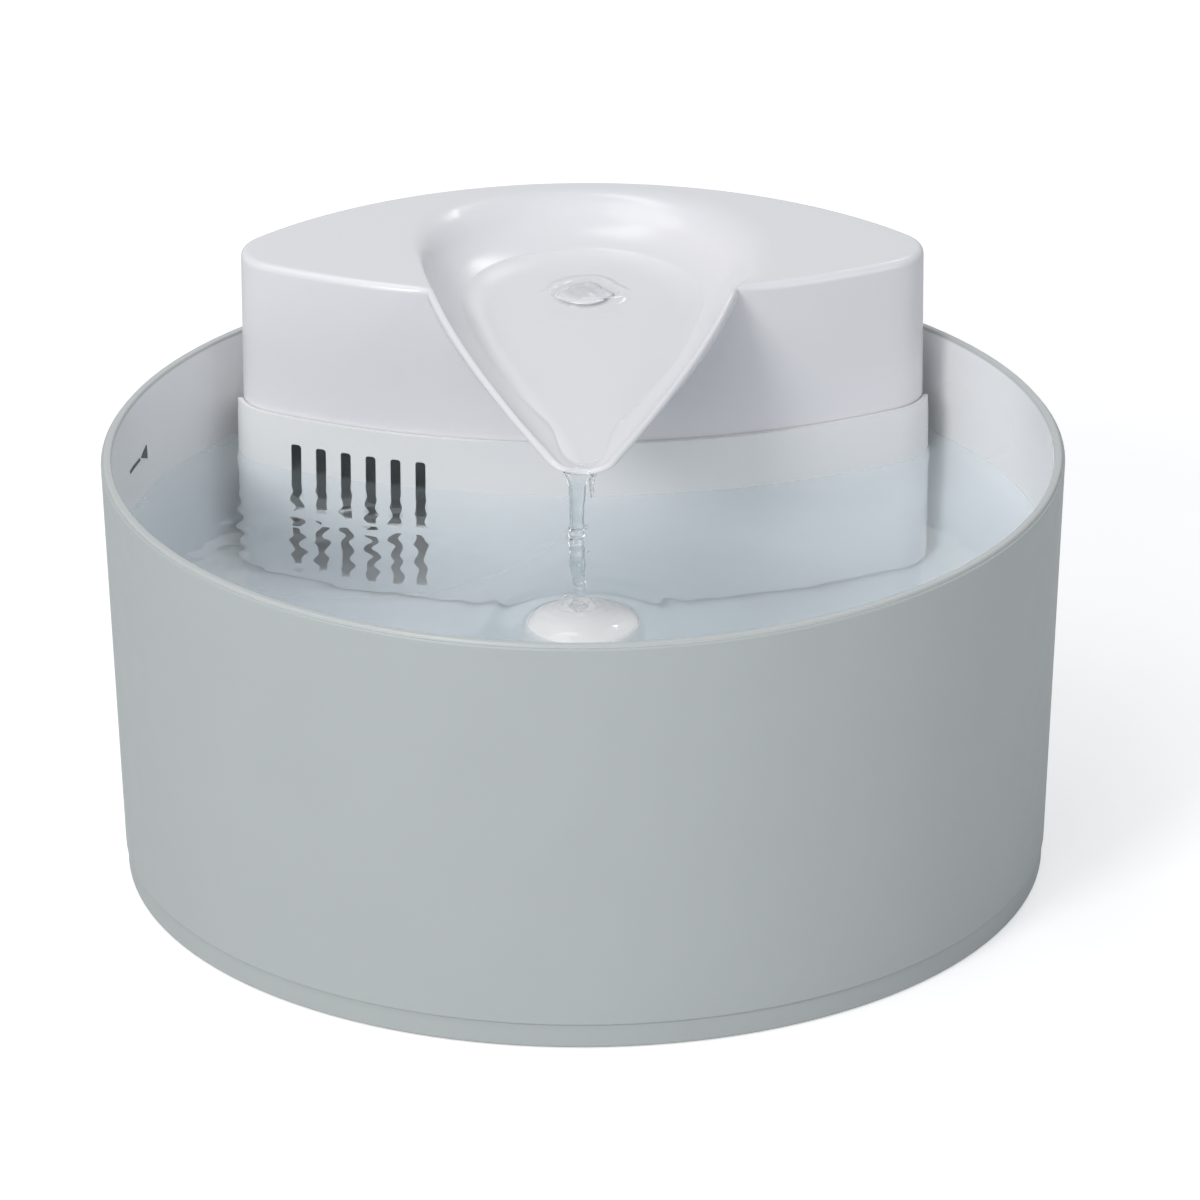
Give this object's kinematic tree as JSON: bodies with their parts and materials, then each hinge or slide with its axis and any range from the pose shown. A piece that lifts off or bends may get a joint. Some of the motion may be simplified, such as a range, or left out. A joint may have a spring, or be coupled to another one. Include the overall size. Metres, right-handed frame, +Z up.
{
  "type": "pet water fountain",
  "caption": "Round double-walled pet water fountain: a lift-out pump tower with filter and pump, and a cover with a basin that pours from a lip onto a splash column.",
  "frame": {"origin": "centre of the bowl on the surface that its rubber feet stand on", "axes": "+Z up; -Y is the front, to which the lip pours; +X is to the right seen from the front"},
  "size_m": [0.25, 0.2498, 0.142],
  "materials": {
    "shell_sage": "satin, fine moulded grain",
    "base_sage": "satin, fine moulded grain",
    "liner_white": "glossy, food-safe white",
    "cover_white": "soft gloss white",
    "housing_white": "satin white",
    "column_white": "soft gloss white",
    "filter_white": "plain white",
    "fleece": "needle-felt fleece",
    "carbon": "black granules",
    "pump_dark": "fine textured dark grey",
    "impeller_grey": "plain light grey",
    "magnet_ferrite": "ground ferrite",
    "foam_grey": "open-cell foam",
    "core_iron": "pressed laminations",
    "coil_copper": "enamelled winding",
    "screw_steel": "stainless",
    "silicone": "milky silicone",
    "foot_rubber": "grey rubber",
    "grommet_rubber": "dark grey rubber",
    "mark_grey": "grey print"
  },
  "bodies": {
    "bowl": {"inner_bowl": "liner_white", "outer_shell": "shell_sage", "base_plate": "base_sage", "base_screws": "screw_steel", "rubber_feet": "foot_rubber", "level_mark": "mark_grey"},
    "splash": {"splash_column": "column_white"},
    "tower": {"pump_housing": "housing_white"},
    "cover": {"top_cover": "cover_white", "cord_grommet": "grommet_rubber", "outlet_nozzle": "cover_white", "riser_tube": "silicone"},
    "filter": {"filter_frame": "filter_white", "filter_fleece": "fleece", "filter_carbon": "carbon"},
    "pump": {"pump_body": "pump_dark", "chamber_cover": "pump_dark", "pump_shaft": "screw_steel", "shaft_bushes": "grommet_rubber", "stator_core": "core_iron", "stator_coil": "coil_copper", "suction_cups": "grommet_rubber", "cable_gland": "grommet_rubber"},
    "rotor": {"impeller": "impeller_grey", "rotor_magnet": "magnet_ferrite"},
    "intake": {"intake_cover": "pump_dark", "intake_foam": "foam_grey"},
    "dial": {"flow_dial": "impeller_grey"}
  },
  "joints": [
    {"name": "tower_lift", "type": "slide", "parent": "bowl", "child": "tower", "axis": [0, 0, 1], "range_m": [0, 0.12]},
    {"name": "cover_lift", "type": "slide", "parent": "tower", "child": "cover", "axis": [0, 0, 1], "range_m": [0, 0.18]},
    {"name": "filter_lift", "type": "slide", "parent": "tower", "child": "filter", "axis": [0, 0, 1], "range_m": [0, 0.09]},
    {"name": "pump_lift", "type": "slide", "parent": "tower", "child": "pump", "axis": [0, 0, 1], "range_m": [0, 0.09]},
    {"name": "splash_column_lift", "type": "slide", "parent": "bowl", "child": "splash", "axis": [0, 0, 1], "range_m": [0, 0.028]},
    {"name": "intake_cover_pull", "type": "slide", "parent": "pump", "child": "intake", "axis": [0, -1, 0], "range_m": [0, 0.004]},
    {"name": "flow_dial_turn", "type": "hinge", "parent": "intake", "child": "dial", "pos_m": [0, 0.0436, 0.038], "axis": [0, -1, 0], "range_deg": [0, 30]},
    {"name": "impeller_spin", "type": "hinge", "parent": "pump", "child": "rotor", "pos_m": [0, 0.07, 0.038], "axis": [0, 1, 0], "continuous": true}
  ],
  "couplings": [
    {"joint": "filter_lift", "follows": "cover_lift", "ratio": 0.5},
    {"joint": "pump_lift", "follows": "cover_lift", "ratio": 0.5}
  ]
}
